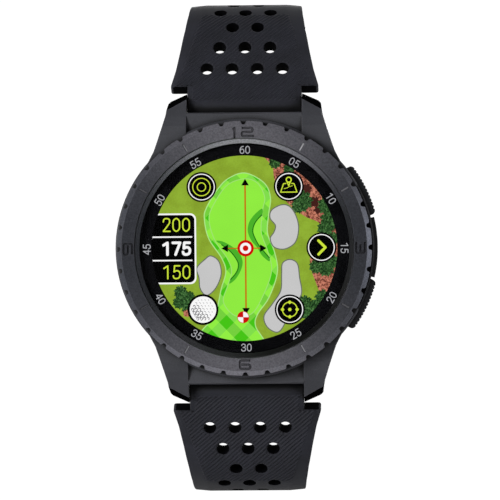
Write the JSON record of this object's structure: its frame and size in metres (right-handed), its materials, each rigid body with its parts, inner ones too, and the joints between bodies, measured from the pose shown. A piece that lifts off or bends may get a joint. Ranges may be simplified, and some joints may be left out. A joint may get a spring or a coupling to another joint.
{
  "type": "golf gps watch",
  "caption": "Round golf GPS wristwatch with a turning notched bezel, two side buttons, a glass display and a two-piece buckled silicone strap.",
  "frame": {"origin": "centre of the case-back flat face", "axes": "-Y out of the dial, +Z to 12 o'clock, +X to 3 o'clock and the buttons"},
  "size_m": [0.05, 0.1048, 0.096],
  "materials": {
    "case_plastic": "fine textured, matt",
    "guard_plastic": "smooth, satin",
    "bezel_metal": "bead blasted dark grey",
    "button_metal": "knurled dark grey",
    "glass": "polished",
    "track_black": "black print under glass",
    "seal_rubber": "matt",
    "display": "lit colour panel",
    "flex": "polyimide film",
    "steel": "turned",
    "back_steel": "brushed dark",
    "buckle_steel": "brushed dark",
    "board": "solder mask",
    "tin": "tinned",
    "antenna": "ceramic",
    "foil": "laminated foil",
    "tray_plastic": "moulded",
    "gold": "plated",
    "strap_rubber": "matt silicone with fine ribs"
  },
  "bodies": {
    "case": {"mid_case": "case_plastic", "side_guard": "guard_plastic", "glass_frame": "bezel_metal", "frame_screws": "steel", "cover_glass": "glass", "minute_track": "track_black", "glass_gasket": "seal_rubber", "display_panel": "display", "display_flex": "flex", "bezel_wire": "steel", "detent_balls": "steel", "detent_springs": "steel", "main_board": "board", "board_screws": "steel", "shield_can": "tin", "gps_antenna": "antenna", "battery": "foil", "battery_tray": "tray_plastic", "vibration_motor": "tin", "button_switches": "track_black", "back_gasket": "seal_rubber", "back_cover": "back_steel", "back_screws": "steel", "charging_contacts": "gold", "upper_button_spring": "steel", "lower_button_spring": "steel"},
    "bezel": {"bezel_ring": "bezel_metal"},
    "upper_button": {"upper_button_cap": "button_metal", "upper_button_seal": "seal_rubber", "upper_button_clip": "steel"},
    "lower_button": {"lower_button_cap": "button_metal", "lower_button_seal": "seal_rubber", "lower_button_clip": "steel"},
    "upper_strap": {"strap_upper": "strap_rubber", "upper_bar_tube": "steel", "upper_bar_spring_left": "steel", "upper_bar_spring_right": "steel", "fixed_keeper": "strap_rubber"},
    "lower_strap": {"strap_lower": "strap_rubber", "lower_bar_tube": "steel", "lower_bar_spring_left": "steel", "lower_bar_spring_right": "steel"},
    "upper_pin_left": {"upper_pin_left": "steel"},
    "upper_pin_right": {"upper_pin_right": "steel"},
    "lower_pin_left": {"lower_pin_left": "steel"},
    "lower_pin_right": {"lower_pin_right": "steel"},
    "keeper": {"sliding_keeper": "strap_rubber"},
    "buckle": {"buckle_frame": "buckle_steel", "buckle_bar": "steel"},
    "tongue": {"buckle_tongue": "buckle_steel"}
  },
  "joints": [
    {"name": "bezel_turn", "type": "hinge", "parent": "case", "child": "bezel", "pos_m": [0, -0.0116, 0], "axis": [0, -1, 0], "continuous": true},
    {"name": "upper_button_press", "type": "slide", "parent": "case", "child": "upper_button", "axis": [-0.8988, 0, -0.4384], "range_m": [0, 0.0006], "stiffness_N_per_m": 20, "springref_m": -0.001, "deforming": ["upper_button_spring"]},
    {"name": "lower_button_press", "type": "slide", "parent": "case", "child": "lower_button", "axis": [-0.8988, 0, 0.4384], "range_m": [0, 0.0006], "stiffness_N_per_m": 20, "springref_m": -0.001, "deforming": ["lower_button_spring"]},
    {"name": "upper_strap_hinge", "type": "hinge", "parent": "case", "child": "upper_strap", "pos_m": [0, -0.0035, 0.0272], "axis": [1, 0, 0], "range_deg": [-18, 25]},
    {"name": "lower_strap_hinge", "type": "hinge", "parent": "case", "child": "lower_strap", "pos_m": [0, -0.0035, -0.0272], "axis": [-1, 0, 0], "range_deg": [-18, 25]},
    {"name": "keeper_slide", "type": "slide", "parent": "upper_strap", "child": "keeper", "axis": [0, 0.9994, -0.0349], "range_m": [-0.015, 0.004]},
    {"name": "buckle_hinge", "type": "hinge", "parent": "upper_strap", "child": "buckle", "pos_m": [0, 0.06504, 0.04425], "axis": [1, 0, 0], "range_deg": [-45, 45]},
    {"name": "tongue_hinge", "type": "hinge", "parent": "buckle", "child": "tongue", "pos_m": [0, 0.06504, 0.04425], "axis": [1, 0, 0], "range_deg": [0, 60]},
    {"name": "upper_pin_left_press", "type": "slide", "parent": "upper_strap", "child": "upper_pin_left", "axis": [1, 0, 0], "range_m": [0, 0.0012], "stiffness_N_per_m": 1, "springref_m": -0.001, "deforming": ["upper_bar_spring_left"]},
    {"name": "upper_pin_right_press", "type": "slide", "parent": "upper_strap", "child": "upper_pin_right", "axis": [-1, 0, 0], "range_m": [0, 0.0012], "stiffness_N_per_m": 1, "springref_m": -0.001, "deforming": ["upper_bar_spring_right"]},
    {"name": "lower_pin_left_press", "type": "slide", "parent": "lower_strap", "child": "lower_pin_left", "axis": [1, 0, 0], "range_m": [0, 0.0012], "stiffness_N_per_m": 1, "springref_m": -0.001, "deforming": ["lower_bar_spring_left"]},
    {"name": "lower_pin_right_press", "type": "slide", "parent": "lower_strap", "child": "lower_pin_right", "axis": [-1, 0, 0], "range_m": [0, 0.0012], "stiffness_N_per_m": 1, "springref_m": -0.001, "deforming": ["lower_bar_spring_right"]}
  ]
}
